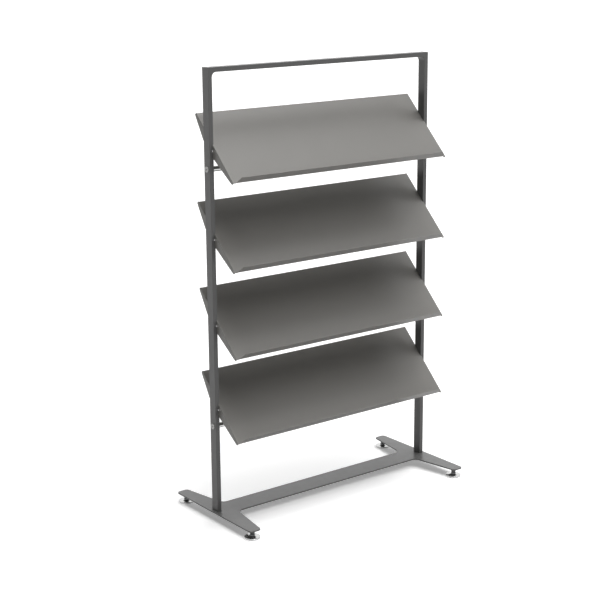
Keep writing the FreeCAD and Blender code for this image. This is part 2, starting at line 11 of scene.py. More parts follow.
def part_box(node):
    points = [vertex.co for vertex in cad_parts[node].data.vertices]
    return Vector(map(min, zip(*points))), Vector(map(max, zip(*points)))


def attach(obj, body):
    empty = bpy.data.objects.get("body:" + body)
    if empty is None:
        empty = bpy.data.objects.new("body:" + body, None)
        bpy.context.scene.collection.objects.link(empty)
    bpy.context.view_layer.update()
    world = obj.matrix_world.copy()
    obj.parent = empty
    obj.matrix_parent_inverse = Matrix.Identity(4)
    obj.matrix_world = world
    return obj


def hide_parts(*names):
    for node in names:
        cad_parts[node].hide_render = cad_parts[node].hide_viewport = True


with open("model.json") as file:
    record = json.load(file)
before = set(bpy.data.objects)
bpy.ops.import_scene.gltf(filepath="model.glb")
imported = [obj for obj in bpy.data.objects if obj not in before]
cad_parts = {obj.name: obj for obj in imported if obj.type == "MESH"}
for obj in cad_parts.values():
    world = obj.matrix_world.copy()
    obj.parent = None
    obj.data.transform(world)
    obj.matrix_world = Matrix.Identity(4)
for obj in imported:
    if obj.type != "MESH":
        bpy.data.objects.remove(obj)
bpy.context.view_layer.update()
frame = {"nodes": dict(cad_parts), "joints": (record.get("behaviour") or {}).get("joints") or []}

# ---- sizes that the frame gives ----
POST_LOW, POST_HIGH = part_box("right_post")
PLATE_LOW, PLATE_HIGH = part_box("base_plate")
INNER_FACE = POST_LOW.x
OUTER_FACE = POST_HIGH.x
HALF_DEPTH = POST_HIGH.y
FRAME_TOP = POST_HIGH.z
BAR_THICK = OUTER_FACE - INNER_FACE
PLATE_UNDER = PLATE_LOW.z
PLATE_TOP = PLATE_HIGH.z
PIVOTS = {joint["child"]: Vector(joint["pos_m"]) for joint in frame["joints"]
          if joint["child"].startswith("shelf")}

# ---- sizes of the frame's bars and plate ----
BAR_ROUNDING = 0.0008       # of the bars' long edges
CORNER_RADIUS = 0.017       # inner corners of the frame
PLATE_ROUNDING = 0.0006
CROSS_HALF_DEPTH = 0.049    # half the depth of the bar that joins the two pairs of legs
LEG_ROOT_WIDTH = 0.079
LEG_TIP_WIDTH = 0.0465
LEG_ROOT_RADIUS = 0.026
LEG_TIP_RADIUS = 0.013
SCREW_SPACING = 0.018
SCREW_HOLE = 0.0033         # radii of the countersunk holes
SCREW_COUNTERSINK = 0.00605

# ---- sizes of a shelf, about its own pivot before it is tilted ----
SHELF_TILT = math.radians(45)
SHEET = 0.0015
BEND_RADIUS = 0.0025        # outside of the bends
SHELF_END = 0.487           # outside of the cheeks
PANEL_FACE = 0.017
PANEL_FRONT = -0.1772
PANEL_BACK = 0.1328
CHEEK_OUTLINE = ((PANEL_FRONT, 0.0087), (-0.1692, 0.0058), (-0.039, -0.017),
                 (0.039, -0.017), (0.1248, 0.0058), (PANEL_BACK, 0.0087))
LIP_LENGTH = 0.026          # from the panel's face to the lip's top
LIP_LEAN = math.radians(6)
LIP_HALF = 0.4741           # half its length along the panel
LIP_SLANT = 0.015           # by which each end slants inwards
HEM_FOOT = 0.0087
HEM_HALF = 0.483
RELIEF = 0.0008             # width of the slots at the ends of the bends
SHEET_ROUNDING = 0.00035
SHEET_ROUNDING_ANGLE = math.radians(50)     # edges sharper than this are rounded

# ---- sizes of the small pieces ----
EDGE_ROUNDING = 0.0003      # of turned pieces
TUBE_WALL = 0.0015
BOLT_HEAD = 0.0105          # radius
BOLT_HEAD_HEIGHT = 0.0035
BOLT_CROWN = 0.0021
BOLT_SHANK = 0.005
BOLT_REACH = 0.018
BOLT_KEY = 0.003            # half across the flats of the socket
PIN_AHEAD = 0.0208          # of the pivot
PIN_BELOW = 0.0155
PIN_RADIUS = 0.003
PIN_REACH = 0.005
PIN_HEAD = 0.005
PIN_HEAD_THICK = 0.002
PIN_HEAD_ROUNDING = 0.0008
PIN_TIP_ROUNDING = 0.0006
PIVOT_HEAD = 0.007
PIVOT_HEAD_HEIGHT = 0.004
PIVOT_HEAD_ROUNDING = 0.0009
PIVOT_SHOULDER = 0.004
PIVOT_THREAD = 0.003
PIVOT_THREAD_LENGTH = 0.0085
PIVOT_KEY = 0.002
WASHER_RADIUS = 0.009
WASHER_ROUNDING = 0.0002
RUN_CLEAR = 0.0001
SOCKET_DEPTH = 0.002        # of the hexagon sockets
SOCKET_FLARE = 1.1          # by which their mouths are wider
FOOT_INSET = 0.026
DOME_RADIUS = 0.029
DOME_HEIGHT = 0.010
DOME_NECK = 0.0095
DOME_HUB = 0.017            # radius of the hub's foot
DOME_BRIM = 0.0072          # height of the brim where it meets the hub
DOME_RIM = 0.0008           # height of the rim's lower edge
DOME_SHOULDER = 0.0015
DOME_EDGE = 0.0065          # height at which the shoulder ends
DOME_RIM_ROUNDING = 0.0006
HUB_BLEND = 0.006           # radius between the brim and the hub
NECK_ROUNDING = 0.0015      # radius between the hub and its flat top
GLIDE_RADIUS = 0.02735
GLIDE_THICK = 0.003
GLIDE_ROUNDING = 0.0004
SPIGOT_RADIUS = 0.004
SPIGOT_DEPTH = 0.004
STEM_RADIUS = 0.005
STEM_TOP = 0.029
STEM_PITCH = 0.0015
THREAD_DEPTH = 0.0009
THREAD_CREST = 0.125        # widths, as shares of the pitch
THREAD_ROOT = 0.25
FOOT_KEY = 0.0085           # half across the flats of the adjusting hexagon
FOOT_HEX_HEIGHT = 0.005
HEX_TRIM = 0.0012           # height that the cone trims
HEX_FACE = 0.97             # radius of its end faces, as a share of half across its flats
BOSS_RADIUS = 0.0085
BOSS_HEIGHT = 0.014
BOSS_ROUNDING = 0.0008

# ---- fineness of the surfaces ----
ROUND_STEPS = 72            # round a turned piece; a multiple of 12, so that a hexagon's corners are met
ARC_STEPS = 5               # round a small edge
BEND_STEPS = 8              # round a bend of the sheet
CORNER_STEPS = 12           # round a corner of an outline
SHEET_ROUNDING_STEPS = 3
PANEL_STRIPS = 8            # along a shelf
PANEL_MIDDLE = (-0.02, 0, 0.02)     # rows that cross the panel near its pivot
FLAT_ROWS = 3               # up the flat part of a lip or a cheek
HEX_ROWS = 7                # up each trimmed end of the adjusting hexagon
THREAD_ROWS = 14            # to a turn of the thread
WELD = 2e-6                 # points nearer than this are one
SAME_POINT = 1e-7           # the same, where a flat face is cut into triangles
SHARP_EDGE = math.radians(32)


# ---- surfaces ----

def grid_faces(rows, columns, closed):
    """Four-sided faces of a grid whose points are numbered row by row; closed joins its last column to its
    first."""
    number = np.arange(rows * columns).reshape(rows, columns)
    if closed:
        number = np.concatenate([number, number[:, :1]], axis=1)
    corners = [number[:-1, :-1], number[:-1, 1:], number[1:, 1:], number[1:, :-1]]
    return np.stack(corners, axis=-1).reshape(-1, 4)


def grid_part(points, closed=False, caps=False):
    """A grid of points as (points, faces), with a flat face over its first and its last row if caps."""
    rows, columns = points.shape[:2]
    faces = grid_faces(rows, columns, closed).tolist()
    if caps:
        faces += [list(range(columns)), list(range((rows - 1) * columns, rows * columns))]
    return points.reshape(-1, 3), faces


def rounded_line(corners, radii, steps, closed):
    """A line through corners in a plane, with an arc of the given radius at each: where the direction turns
    by an angle t, the arc starts radius * tan(t / 2) before the corner and its points lie at
    centre - side * radius, side being the unit vector to the turn's inside. Returns the points and the
    normals to their right."""
    corners = np.asarray(corners, float)
    places, normals = [], []
    count = len(corners)
    for number, (corner, radius) in enumerate(zip(corners, radii)):
        at_end = not closed and number in (0, count - 1)
        before = corner - corners[number - 1] if closed or number else corners[1] - corner
        after = corners[(number + 1) % count] - corner if closed or number < count - 1 else before
        heading = math.atan2(before[1], before[0])
        turn = (math.atan2(after[1], after[0]) - heading + math.pi) % (2 * math.pi) - math.pi
        reach = 0 if at_end else radius * math.tan(abs(turn) / 2)
        single = 0 if at_end else turn / 2
        angle = heading + (np.linspace(0, turn, steps + 1) if reach else np.array([single]))
        left = np.stack([-np.sin(angle), np.cos(angle)], axis=1)
        if reach:
            start = corner - reach * before / np.linalg.norm(before)
            side = math.copysign(radius, turn)
            places.append(start + side * left[0] - side * left)
        else:
            places.append(corner[None, :])
        normals.append(-left)
    return np.concatenate(places), np.concatenate(normals)


def angle_to_flat(angle):
    """The angle from the middle of the nearest of a hexagon's six flats."""
    return (angle + np.pi / 6) % (np.pi / 3) - np.pi / 6


def turned_part(profile, centre, axis, radii=None):
    """A profile of (distance along the axis, radius, share of hexagon) points turned about the X or Z axis
    through centre. A share of 1 makes the radius half the width across a hexagon's flats: radius / cos(angle
    from the nearest flat's middle). radii rounds the profile's corners."""
    profile = np.array([(*point, 0)[:3] for point in profile], float)
    if radii is not None:
        share = profile[:, 2]
        line = rounded_line(profile[:, :2], radii, ARC_STEPS, closed=False)[0]
        nearest = np.argmin(np.linalg.norm(line[:, None] - profile[None, :, :2], axis=2), axis=1)
        profile = np.column_stack([line, share[nearest]])
    angle = np.arange(ROUND_STEPS) * 2 * np.pi / ROUND_STEPS
    widening = 1 / np.cos(angle_to_flat(angle)) - 1
    radius = profile[:, 1:2] * (1 + profile[:, 2:3] * widening[None, :])
    along = np.repeat(profile[:, :1], ROUND_STEPS, axis=1)
    return grid_part(on_axis(along, radius, angle, centre, axis), closed=True)


def on_axis(along, radius, angle, centre, axis):
    """Points at a distance along the X or Z axis through centre, a radius and an angle about it."""
    first, second = radius * np.cos(angle), radius * np.sin(angle)
    if axis == "X":
        return np.stack([along, first, second], axis=-1) + np.array(centre)
    return np.stack([first, second, along], axis=-1) + np.array(centre)


def key_socket(face, inward, half_flats):
    """The profile of a hexagon socket from its flared mouth in a screw's face to the cone at its bottom,
    a third of half_flats deep. inward is the way into the screw along its axis, 1 or -1."""
    return [(face, half_flats * SOCKET_FLARE, 1),
            (face + inward * EDGE_ROUNDING, half_flats, 1),
            (face + inward * SOCKET_DEPTH, half_flats, 1),
            (face + inward * (SOCKET_DEPTH + half_flats / 3), 0)]


def mirrored(part):
    """The same part at the rack's other end."""
    points, faces = part
    return points * np.array([-1, 1, 1]), faces


def at_both_ends(part):
    """The part and its mirror image."""
    return [part, mirrored(part)]


def make_piece(name, parts, material, body, slot, *nodes):
    """One closed piece from parts of (points, faces): welded, its faces turned outwards, smooth but for its
    sharp edges, riding on a body and standing for CAD nodes."""
    points, faces, start = [], [], 0
    for part_points, part_faces in parts:
        points.append(part_points)
        faces += [[start + corner for corner in face] for face in part_faces]
        start += len(part_points)
    mesh = bpy.data.meshes.new(name)
    mesh.from_pydata(np.concatenate(points), [], faces)
    welded = bmesh.new()
    welded.from_mesh(mesh)
    bmesh.ops.remove_doubles(welded, verts=welded.verts, dist=WELD)
    bmesh.ops.recalc_face_normals(welded, faces=welded.faces)
    welded.to_mesh(mesh)
    welded.free()
    mesh.shade_smooth()
    mesh.set_sharp_from_angle(angle=SHARP_EDGE)
    mesh.materials.append(material)
    piece = bpy.data.objects.new(name, mesh)
    bpy.context.scene.collection.objects.link(piece)
    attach(piece, body)
    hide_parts(*nodes)
    return piece


def even_normals(piece):
    """Flat faces keep their own direction, and the small roundings between them turn it."""
    weighted = piece.modifiers.new("EvenNormals", "WEIGHTED_NORMAL")
    weighted.keep_sharp = True


# ---- finishes ----

NOISE_SPAN = (0.3, 0.7)     # between which a noise texture mostly keeps
MIX_FIRST = 6               # sockets of a mix of colours
MIX_SECOND = 7
MIX_RESULT = 2


def new_finish(name, metallic):
    """A material, its shader and the Object coordinate that its noise takes."""
    material = bpy.data.materials.new(name)
    material.use_nodes = True
    nodes = material.node_tree.nodes
    shader = nodes["Principled BSDF"]
    shader.inputs["Metallic"].default_value = metallic
    place = nodes.new("ShaderNodeTexCoord")
    return material, shader, place.outputs["Object"]


def noise(material, place, scale, detail=2.0):
    """A value that wanders over the surface, scale times in a metre."""
    texture = material.node_tree.nodes.new("ShaderNodeTexNoise")
    texture.inputs["Scale"].default_value = scale
    texture.inputs["Detail"].default_value = detail
    material.node_tree.links.new(place, texture.inputs["Vector"])
    return texture.outputs["Fac"]


def spread(material, value, low, high, target):
    """Feeds target with the noise's value, spread from its own span over low to high."""
    remap = material.node_tree.nodes.new("ShaderNodeMapRange")
    remap.inputs["From Min"].default_value = NOISE_SPAN[0]
    remap.inputs["From Max"].default_value = NOISE_SPAN[1]
    remap.inputs["To Min"].default_value = low
    remap.inputs["To Max"].default_value = high
    material.node_tree.links.new(value, remap.inputs["Value"])
    material.node_tree.links.new(remap.outputs["Result"], target)


def tint(material, shader, value, colour, change):
    """Varies the base colour by the share change, up and down."""
    mix = material.node_tree.nodes.new("ShaderNodeMix")
    mix.data_type = "RGBA"
    mix.inputs[MIX_FIRST].default_value = (*[channel * (1 - change) for channel in colour], 1)
    mix.inputs[MIX_SECOND].default_value = (*[channel * (1 + change) for channel in colour], 1)
    spread(material, value, 0, 1, mix.inputs[0])
    material.node_tree.links.new(mix.outputs[MIX_RESULT], shader.inputs["Base Color"])


def relief(material, shader, value, depth):
    """Raises the surface by value times depth, in metres, for the light only."""
    bump = material.node_tree.nodes.new("ShaderNodeBump")
    bump.inputs["Distance"].default_value = depth
    bump.inputs["Strength"].default_value = 1.0
    material.node_tree.links.new(value, bump.inputs["Height"])
    material.node_tree.links.new(bump.outputs["Normal"], shader.inputs["Normal"])


def dull(material, shader, value, roughness, change):
    """Varies the roughness by change, up and down."""
    spread(material, value, roughness - change, roughness + change, shader.inputs["Roughness"])


def powder_coat(name, colour, roughness, gloss):
    """Satin powder coat: faint clouds of colour and the fine orange peel of the baked coat. gloss is its
    index of refraction."""
    material, shader, place = new_finish(name, metallic=0.0)
    shader.inputs["IOR"].default_value = gloss
    tint(material, shader, noise(material, place, scale=9.0, detail=4.0), colour, change=0.012)
    dull(material, shader, noise(material, place, scale=40.0), roughness, change=0.03)
    relief(material, shader, noise(material, place, scale=650.0, detail=3.0), depth=0.00003)
    return material


def bright_chrome(name, colour):
    """Polished chrome with the faint waviness of its ground base."""
    material, shader, place = new_finish(name, metallic=1.0)
    tint(material, shader, noise(material, place, scale=30.0), colour, change=0.015)
    dull(material, shader, noise(material, place, scale=120.0), roughness=0.075, change=0.025)
    relief(material, shader, noise(material, place, scale=90.0), depth=0.00001)
    return material


def plain_steel(name, colour, roughness):
    """Zinc-plated or satin steel: cloudy in colour and gloss, with a fine grain."""
    material, shader, place = new_finish(name, metallic=1.0)
    tint(material, shader, noise(material, place, scale=160.0, detail=4.0), colour, change=0.06)
    dull(material, shader, noise(material, place, scale=300.0), roughness, change=0.06)
    relief(material, shader, noise(material, place, scale=2500.0), depth=0.00001)
    return material


def moulded_plastic(name, colour):
    """Dull moulded plastic with a spark-eroded grain."""
    material, shader, place = new_finish(name, metallic=0.0)
    tint(material, shader, noise(material, place, scale=60.0), colour, change=0.08)
    dull(material, shader, noise(material, place, scale=500.0), roughness=0.56, change=0.06)
    relief(material, shader, noise(material, place, scale=1800.0), depth=0.00002)
    return material


FRAME_PAINT = powder_coat("frame_powder_coat", (0.117, 0.117, 0.116), roughness=0.34, gloss=1.41)
SHELF_PAINT = powder_coat("shelf_powder_coat", (0.197, 0.191, 0.179), roughness=0.36, gloss=1.47)
CHROME = bright_chrome("chrome_plating", (0.48, 0.482, 0.48))
# The stop pins are chrome like the domes and tubes, but their copy of the chrome is far lighter, 0.85 against
# 0.48: the extra lightness is a painted highlight on the pins.
PIN_CHROME_PAINTED_HIGHLIGHT = bright_chrome("pin_chrome_painted_highlight", (0.85, 0.85, 0.85))
SATIN_STEEL = plain_steel("satin_steel", (0.26, 0.26, 0.255), roughness=0.42)
ZINC = plain_steel("zinc_plating", (0.17, 0.172, 0.175), roughness=0.40)
GLIDE_PLASTIC = moulded_plastic("glide_plastic", (0.03, 0.03, 0.03))
WASHER_PLASTIC = moulded_plastic("washer_plastic", (0.05, 0.05, 0.05))


# ---- frame ----

def bar_part(inner, outer):
    """A flat bar between two lines in the XZ plane. A section runs from a point of the inner line to the same
    point of the outer one, and each of its four corners is a quarter circle of the edge's radius."""
    length = np.linalg.norm(outer - inner, axis=1)
    direction = (outer - inner) / length[:, None]
    quarter = np.linspace(0, np.pi / 2, ARC_STEPS)
    shrink, swing = BAR_ROUNDING * (1 - np.cos(quarter)), BAR_ROUNDING * np.sin(quarter)
    edge = HALF_DEPTH - BAR_ROUNDING
    from_end = np.concatenate([shrink, shrink[::-1], shrink, shrink[::-1]])
    depth = np.concatenate([-edge - swing, -edge - swing[::-1], edge + swing, edge + swing[::-1]])
    at_outer = np.repeat([False, True, True, False], ARC_STEPS)
    along = np.where(at_outer[None, :], length[:, None] - from_end, from_end)
    points = np.zeros((len(inner), len(depth), 3))
    points[..., (0, 2)] = inner[:, None, :] + direction[:, None, :] * along[..., None]
    points[..., 1] = depth
    return grid_part(points, closed=True, caps=True)


def half_corner():
    """From a post's inner face to the mitre: the inner line follows half the corner's arc, and the outer line
    climbs to the frame's outer corner and round the first half of its small rounding."""
    angle = np.linspace(0, np.pi / 4, CORNER_STEPS)
    arc_x, arc_z = INNER_FACE - CORNER_RADIUS, FRAME_TOP - BAR_THICK - CORNER_RADIUS
    inner = np.stack([arc_x + CORNER_RADIUS * np.cos(angle), arc_z + CORNER_RADIUS * np.sin(angle)], axis=1)
    climb = np.linspace(arc_z, FRAME_TOP - BAR_ROUNDING, CORNER_STEPS - ARC_STEPS + 1)
    rounding = np.linspace(0, np.pi / 4, ARC_STEPS)[1:]
    outer_x = np.concatenate([np.full(len(climb), OUTER_FACE),
                              OUTER_FACE - BAR_ROUNDING * (1 - np.cos(rounding))])
    outer_z = np.concatenate([climb, FRAME_TOP - BAR_ROUNDING * (1 - np.sin(rounding))])
    return inner, np.stack([outer_x, outer_z], axis=1)


def across_mitre(line):
    """Mirror a line of the right post across the mitre, so that it lies along the rail."""
    corner = np.array([OUTER_FACE, FRAME_TOP])
    return corner - (corner - line)[:, ::-1]


def make_frame_bars():
    """The two posts, from the plate's top to their mitres, and the rail between the mitres."""
    inner, outer = half_corner()
    post = bar_part(np.concatenate([[[INNER_FACE, PLATE_TOP]], inner]),
                    np.concatenate([[[OUTER_FACE, PLATE_TOP]], outer]))
    rail_inner, rail_outer = across_mitre(inner)[::-1], across_mitre(outer)[::-1]
    flip = np.array([-1, 1])
    rail = bar_part(np.concatenate([rail_inner, rail_inner[::-1] * flip]),
                    np.concatenate([rail_outer, rail_outer[::-1] * flip]))
    for name, part in (("right_post", post), ("left_post", mirrored(post)), ("top_rail", rail)):
        even_normals(make_piece(f"{name}_bar", [part], FRAME_PAINT, "frame", "frame_paint", name))


def flat_part(outline, holes, height):
    """A flat face at a height, inside an outline and outside its round holes, which are (x, y, radius).
    Triangles join the edges' points, and those whose middle is nearer to a hole's centre than its radius are
    left out."""
    loops = [outline, *[circle(*hole) for hole in holes]]
    starts = np.cumsum([0, *map(len, loops)])
    sides = [(int(start + number), int(start + (number + 1) % len(loop)))
             for start, loop in zip(starts, loops) for number in range(len(loop))]
    places = [Vector(place) for place in np.concatenate(loops)]
    inside_only = 1
    corners, _, faces, *_ = geometry.delaunay_2d_cdt(places, sides, [], inside_only, SAME_POINT)
    corners, faces = np.array(corners), np.array(faces)
    middles = corners[faces].mean(axis=1)
    in_hole = np.any([np.hypot(*(middles - hole[:2]).T) < hole[2] for hole in holes], axis=0)
    return np.column_stack([corners, np.full(len(corners), height)]), faces[~in_hole].tolist()


def circle(x, y, radius):
    """Points round a circle, at the angles that turned_part uses."""
    angle = np.arange(ROUND_STEPS) * 2 * np.pi / ROUND_STEPS
    return np.stack([x + radius * np.cos(angle), y + radius * np.sin(angle)], axis=1)


def make_base_plate():
    """The plate's outline, two faces with screw holes and a rim between them: as an angle a goes round a
    quarter circle, the outline's points move inwards by rounding * (1 - cos a) and to within
    rounding * (1 - sin a) of the top or the underside."""
    side, tip = PLATE_HIGH.x, PLATE_HIGH.y
    quarter = [(side - LEG_ROOT_WIDTH, CROSS_HALF_DEPTH, LEG_ROOT_RADIUS),
               (side - LEG_TIP_WIDTH, tip, LEG_TIP_RADIUS),
               (side, tip, LEG_TIP_RADIUS)]
    corners = [(x, y, r) for x, y, r in reversed(quarter)] + [(-x, y, r) for x, y, r in quarter]
    corners += [(-x, -y, r) for x, y, r in reversed(quarter)] + [(x, -y, r) for x, y, r in quarter]
    outline, outward = rounded_line([corner[:2] for corner in corners], [corner[2] for corner in corners],
                                    CORNER_STEPS, closed=True)
    turn = np.linspace(0, np.pi / 2, ARC_STEPS)
    inset = PLATE_ROUNDING * (1 - np.cos(turn))
    drop = PLATE_ROUNDING * (1 - np.sin(turn))
    inset = np.concatenate([inset[::-1], inset])
    height = np.concatenate([PLATE_TOP - drop[::-1], PLATE_UNDER + drop])
    rim = np.zeros((len(inset), len(outline), 3))
    rim[..., :2] = outline[None] - outward[None] * inset[:, None, None]
    rim[..., 2] = height[:, None]
    screws = [(x * (INNER_FACE + OUTER_FACE) / 2, y * SCREW_SPACING / 2) for x in (-1, 1) for y in (-1, 1)]
    inner = outline - outward * PLATE_ROUNDING
    parts = [grid_part(rim, closed=True),
             flat_part(inner, [(*screw, SCREW_HOLE) for screw in screws], PLATE_TOP),
             flat_part(inner, [(*screw, SCREW_COUNTERSINK) for screw in screws], PLATE_UNDER)]
    cone_top = PLATE_UNDER + SCREW_COUNTERSINK - SCREW_HOLE
    hole = [(PLATE_TOP, SCREW_HOLE), (cone_top, SCREW_HOLE), (PLATE_UNDER, SCREW_COUNTERSINK)]
    parts += [turned_part(hole, (*screw, 0), "Z") for screw in screws]
    even_normals(make_piece("base_plate_steel", parts, FRAME_PAINT, "frame", "frame_paint", "base_plate"))


# ---- tie tubes ----

def make_tie(side):
    """A tube turned from its wall's section, and the round bolt at each of its ends."""
    low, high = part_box(f"{side}_tie_tube")
    outer = (high.z - low.z) / 2
    centre = (0, 0, (high.z + low.z) / 2)
    inner = outer - TUBE_WALL
    ring = [(high.x, inner), (high.x, outer), (low.x, outer), (low.x, inner), (high.x, inner)]
    tube = turned_part(ring, centre, "X", [0, EDGE_ROUNDING, EDGE_ROUNDING, EDGE_ROUNDING, 0])
    even_normals(make_piece(f"{side}_tie_tube_chrome", [tube], CHROME, "frame", "bright_chrome",
                            f"{side}_tie_tube"))
    face = OUTER_FACE + BOLT_HEAD_HEIGHT
    bolt = turned_part([(INNER_FACE - BOLT_REACH, 0), (INNER_FACE - BOLT_REACH, BOLT_SHANK),
                        (OUTER_FACE, BOLT_SHANK), (OUTER_FACE, BOLT_HEAD), (face, BOLT_HEAD),
                        *key_socket(face, -1, BOLT_KEY)],
                       centre, "X", [0, EDGE_ROUNDING, 0, EDGE_ROUNDING, BOLT_CROWN, 0, 0, 0, 0])
    even_normals(make_piece(f"{side}_tie_bolt_pair", at_both_ends(bolt), SATIN_STEEL, "frame", "satin_steel",
                            f"{side}_tie_bolts"))


# ---- shelves ----

def bend(distance, turn, radius):
    """Where a sheet that runs outwards and then turns up by an angle has got to at a distance past the start
    of its bend: round the arc first, then straight on. Returns how far out and how far up."""
    angle = np.clip(distance / radius, 0, turn)
    beyond = np.maximum(distance - radius * turn, 0)
    return (radius * np.sin(angle) + beyond * np.cos(turn),
            radius * (1 - np.cos(angle)) + beyond * np.sin(turn))


def sheet_part(across, along, shape):
    """A stretch of the sheet's middle surface: shape gives x, y and z for each pair of across and along."""
    first, second = np.meshgrid(across, along, indexing="ij")
    return grid_part(np.stack(np.broadcast_arrays(*shape(first, second)), axis=-1))


def shelf_parts():
    """The flat blank of a shelf, folded. The panel lies level; past the start of each bend the blank turns by
    the bend's angle on the middle radius, down at the two ends and the back and up at the front. The cheeks'
    lower edges and the lip's slanting ends come from where the blank is cut."""
    half = SHEET / 2
    radius = BEND_RADIUS - half
    level = PANEL_FACE - half
    lip_turn = math.pi / 2 + LIP_LEAN
    end_start = SHELF_END - BEND_RADIUS
    lip_foot = PANEL_FRONT + half / math.cos(LIP_LEAN) - half * math.tan(LIP_LEAN)
    front_start = lip_foot + radius * math.tan(lip_turn / 2)
    back_start = PANEL_BACK - BEND_RADIUS
    outline = np.array(CHEEK_OUTLINE)

    lengths = np.array([-end_start, -(HEM_HALF + RELIEF), -HEM_HALF, -(LIP_HALF + RELIEF), -LIP_HALF])
    middle = np.linspace(-LIP_HALF, LIP_HALF, PANEL_STRIPS + 1)[1:-1]
    lengths = np.concatenate([lengths, middle, -lengths[::-1]])
    slopes = [outline[1:3, 0].mean(), outline[3:5, 0].mean()]
    depths = np.sort(np.concatenate([[front_start], outline[1:-1, 0], PANEL_MIDDLE, [back_start], slopes]))
    full_depths = np.concatenate([[PANEL_FRONT], depths, [PANEL_BACK]])
    bend_length = np.linspace(0, radius * np.pi / 2, BEND_STEPS + 1)

    def panel(x, y):
        """Level."""
        return x, y, level

    def end_bend(distance, y):
        """A quarter turn down, outwards along x."""
        out, down = bend(distance, np.pi / 2, radius)
        return end_start + out, y, level - down

    def cheek(share, y):
        """Upright, from the bend down to the outline's height at y."""
        top = level - radius
        return end_start + radius, y, top + share * (np.interp(y, *outline.T) - top)

    def lip(x, distance):
        """The lip's turn up, forwards along y, with x drawn in by the slant as the lip rises."""
        out, up = bend(distance, lip_turn, radius)
        slant = LIP_SLANT * np.clip((level + up - PANEL_FACE) / (LIP_LENGTH * math.cos(LIP_LEAN)), 0, 1)
        return x * (1 - slant / LIP_HALF), front_start - out, level + up

    def hem(x, distance):
        """A quarter turn down, backwards along y."""
        out, down = bend(distance, np.pi / 2, radius)
        return x, back_start + out, level - down

    inside_lip = lengths[np.abs(lengths) <= LIP_HALF + WELD]
    inside_hem = lengths[np.abs(lengths) <= HEM_HALF + WELD]
    lip_straight = LIP_LENGTH + half * math.tan(LIP_LEAN / 2) - radius * math.tan(lip_turn / 2) + half
    lip_along = np.concatenate([np.linspace(0, radius * lip_turn, BEND_STEPS + 1),
                                radius * lip_turn + np.linspace(0, lip_straight, FLAT_ROWS + 1)[1:]])
    hem_along = np.append(bend_length, bend_length[-1] + (level - radius - HEM_FOOT))
    parts = [sheet_part(lengths, depths, panel), sheet_part(inside_lip, lip_along, lip),
             sheet_part(inside_hem, hem_along, hem)]
    for half_length, tips in ((LIP_HALF, (PANEL_FRONT, front_start)), (HEM_HALF, (back_start, PANEL_BACK))):
        past_slot = half_length + RELIEF / 2
        for beyond in (lengths[lengths <= -past_slot], lengths[lengths >= past_slot]):
            parts.append(sheet_part(beyond, np.array(tips), panel))
    parts += at_both_ends(sheet_part(bend_length, full_depths, end_bend))
    parts += at_both_ends(sheet_part(np.linspace(0, 1, FLAT_ROWS + 1), full_depths, cheek))
    return parts


def tilted(points, pivot):
    """From a shelf's own level place to its place in the rack."""
    y, z = points[..., 1], points[..., 2]
    cosine, sine = math.cos(SHELF_TILT), math.sin(SHELF_TILT)
    return np.stack([points[..., 0], y * cosine - z * sine, y * sine + z * cosine], axis=-1) + np.array(pivot)


def make_shelf(shelf, pivot):
    """The folded sheet, as its middle surface with a thickness, and its pins, pivot screws and washers,
    turned about the X axis."""
    parts = [(tilted(points, pivot), faces) for points, faces in shelf_parts()]
    sheet = make_piece(f"{shelf}_sheet", parts, SHELF_PAINT, shelf, "shelf_paint", shelf)
    wall = sheet.modifiers.new("Sheet", "SOLIDIFY")
    wall.thickness = SHEET
    wall.offset = 0
    wall.use_even_offset = True
    edges = sheet.modifiers.new("Edges", "BEVEL")
    edges.width = SHEET_ROUNDING
    edges.segments = SHEET_ROUNDING_STEPS
    edges.limit_method = "ANGLE"
    edges.angle_limit = SHEET_ROUNDING_ANGLE
    even_normals(sheet)

    cheek_inside = SHELF_END - SHEET
    end = SHELF_END + PIN_REACH
    pin = turned_part([(cheek_inside - PIN_HEAD_THICK, 0), (cheek_inside - PIN_HEAD_THICK, PIN_HEAD),
                       (cheek_inside, PIN_HEAD), (cheek_inside, PIN_RADIUS), (end, PIN_RADIUS), (end, 0)],
                      (0, -PIN_AHEAD, pivot.z - PIN_BELOW), "X",
                      [0, PIN_HEAD_ROUNDING, EDGE_ROUNDING, 0, PIN_TIP_ROUNDING, 0])
    # The stop pins take the lighter copy of the chrome, whose extra lightness is a painted highlight.
    even_normals(make_piece(f"{shelf}_stop_pin_pair", at_both_ends(pin), PIN_CHROME_PAINTED_HIGHLIGHT, shelf, "bright_chrome",
                            f"{shelf}_stop_pins"))

    seat = cheek_inside - RUN_CLEAR
    head_end = seat - PIVOT_HEAD_HEIGHT
    thread_end = INNER_FACE + PIVOT_THREAD_LENGTH
    screw = turned_part([(thread_end, 0), (thread_end, PIVOT_THREAD), (INNER_FACE, PIVOT_THREAD),
                         (INNER_FACE, PIVOT_SHOULDER), (seat, PIVOT_SHOULDER), (seat, PIVOT_HEAD),
                         (head_end, PIVOT_HEAD), *key_socket(head_end, 1, PIVOT_KEY)],
                        (0, 0, pivot.z), "X",
                        [0, EDGE_ROUNDING, 0, 0, 0, EDGE_ROUNDING, PIVOT_HEAD_ROUNDING, 0, 0, 0, 0])
    even_normals(make_piece(f"{shelf}_pivot_screw_pair", at_both_ends(screw), ZINC, "frame", "zinc_steel",
                            f"{shelf}_pivot_screws"))

    face, bore = SHELF_END + RUN_CLEAR, PIVOT_SHOULDER + RUN_CLEAR / 2
    washer = turned_part([(face, bore), (face, WASHER_RADIUS), (INNER_FACE, WASHER_RADIUS),
                          (INNER_FACE, bore), (face, bore)],
                         (0, 0, pivot.z), "X", [0, WASHER_ROUNDING, WASHER_ROUNDING, 0, 0])
    even_normals(make_piece(f"{shelf}_pivot_washer_pair", at_both_ends(washer), WASHER_PLASTIC, "frame",
                            "washer_plastic", f"{shelf}_pivot_washers"))


# ---- levelling feet ----

